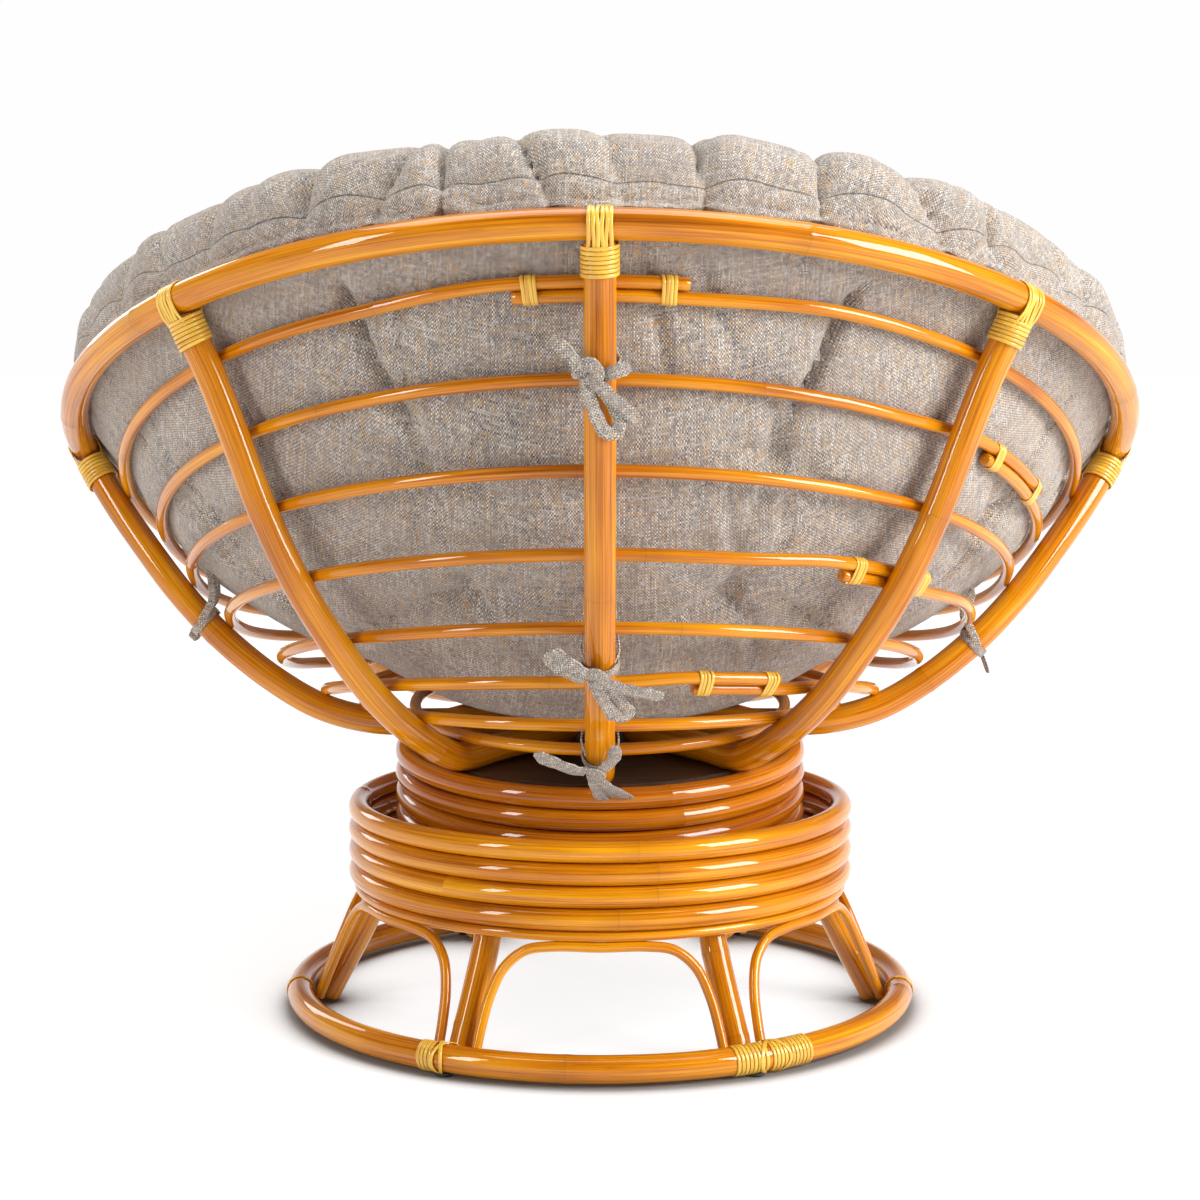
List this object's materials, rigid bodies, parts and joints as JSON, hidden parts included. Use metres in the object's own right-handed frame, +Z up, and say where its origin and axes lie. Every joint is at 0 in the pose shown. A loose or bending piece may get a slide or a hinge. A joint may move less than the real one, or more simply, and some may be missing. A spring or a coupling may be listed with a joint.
{
  "type": "papasan chair",
  "caption": "Round rattan papasan chair: a tilted bowl of bent poles and hoops with a thick tied-on cushion, swivelling and rocking on a splayed drum base.",
  "frame": {"origin": "on the floor, under the middle of the whole chair's bounding box", "axes": "+Z up, -Y the way the sitter faces, +X to the sitter's left"},
  "size_m": [1.098, 1.0298, 0.8544],
  "materials": {
    "rattan_rib": "gloss",
    "rattan_rim": "gloss",
    "rattan_hoop": "gloss",
    "rattan_drum": "gloss",
    "rattan_base": "gloss",
    "cane": "gloss",
    "board": "satin",
    "steel": "satin",
    "cloth": "matte"
  },
  "bodies": {
    "base": {"floor_ring": "rattan_base", "thin_ring": "rattan_drum", "leg_1": "rattan_base", "leg_2": "rattan_base", "leg_3": "rattan_base", "leg_4": "rattan_base", "leg_5": "rattan_base", "leg_6": "rattan_base", "arch_1": "rattan_base", "arch_2": "rattan_base", "arch_3": "rattan_base", "arch_4": "rattan_base", "arch_5": "rattan_base", "arch_6": "rattan_base", "scarf_lashing": "cane", "leg_lashing": "cane", "lower_drum_1": "rattan_drum", "lower_drum_2": "rattan_drum", "lower_drum_3": "rattan_drum", "lower_drum_4": "rattan_drum", "base_board": "board", "bearing_lower_plate": "steel", "bearing_ball_ring": "steel"},
    "swivel": {"bearing_upper_plate": "steel", "rocker_bracket": "steel", "rocker_pin": "steel", "spring_back": "steel", "spring_front": "steel"},
    "bowl": {"rim": "rattan_rim", "rib_1": "rattan_rib", "rib_2": "rattan_rib", "rib_3": "rattan_rib", "rib_4": "rattan_rib", "rib_5": "rattan_rib", "rib_6": "rattan_rib", "rib_7": "rattan_rib", "rib_8": "rattan_rib", "hoop_1": "rattan_hoop", "hoop_2": "rattan_hoop", "hoop_3": "rattan_hoop", "hoop_4": "rattan_hoop", "hoop_5": "rattan_hoop", "hoop_6": "rattan_hoop", "hoop_7": "rattan_hoop", "hoop_8": "rattan_hoop", "rim_lashing_1": "cane", "rim_lashing_2": "cane", "rim_lashing_3": "cane", "rim_lashing_4": "cane", "rim_lashing_5": "cane", "rim_lashing_6": "cane", "rim_lashing_7": "cane", "rim_lashing_8": "cane", "cushion": "cloth", "upper_drum_1": "rattan_drum", "upper_drum_2": "rattan_drum", "upper_drum_3": "rattan_drum", "upper_drum_4": "rattan_drum", "seat_board": "board", "rocker_plate": "steel"}
  },
  "joints": [
    {"name": "swivel", "type": "hinge", "parent": "base", "child": "swivel", "pos_m": [0, 0.10272, 0.1455], "axis": [0, 0, 1], "continuous": true},
    {"name": "rock", "type": "hinge", "parent": "swivel", "child": "bowl", "pos_m": [0, 0.10272, 0.235], "axis": [1, 0, 0], "range_deg": [-6, 12], "stiffness_Nm_per_rad": 400, "springref_deg": -1.91, "deforming": ["spring_back", "spring_front"]}
  ]
}
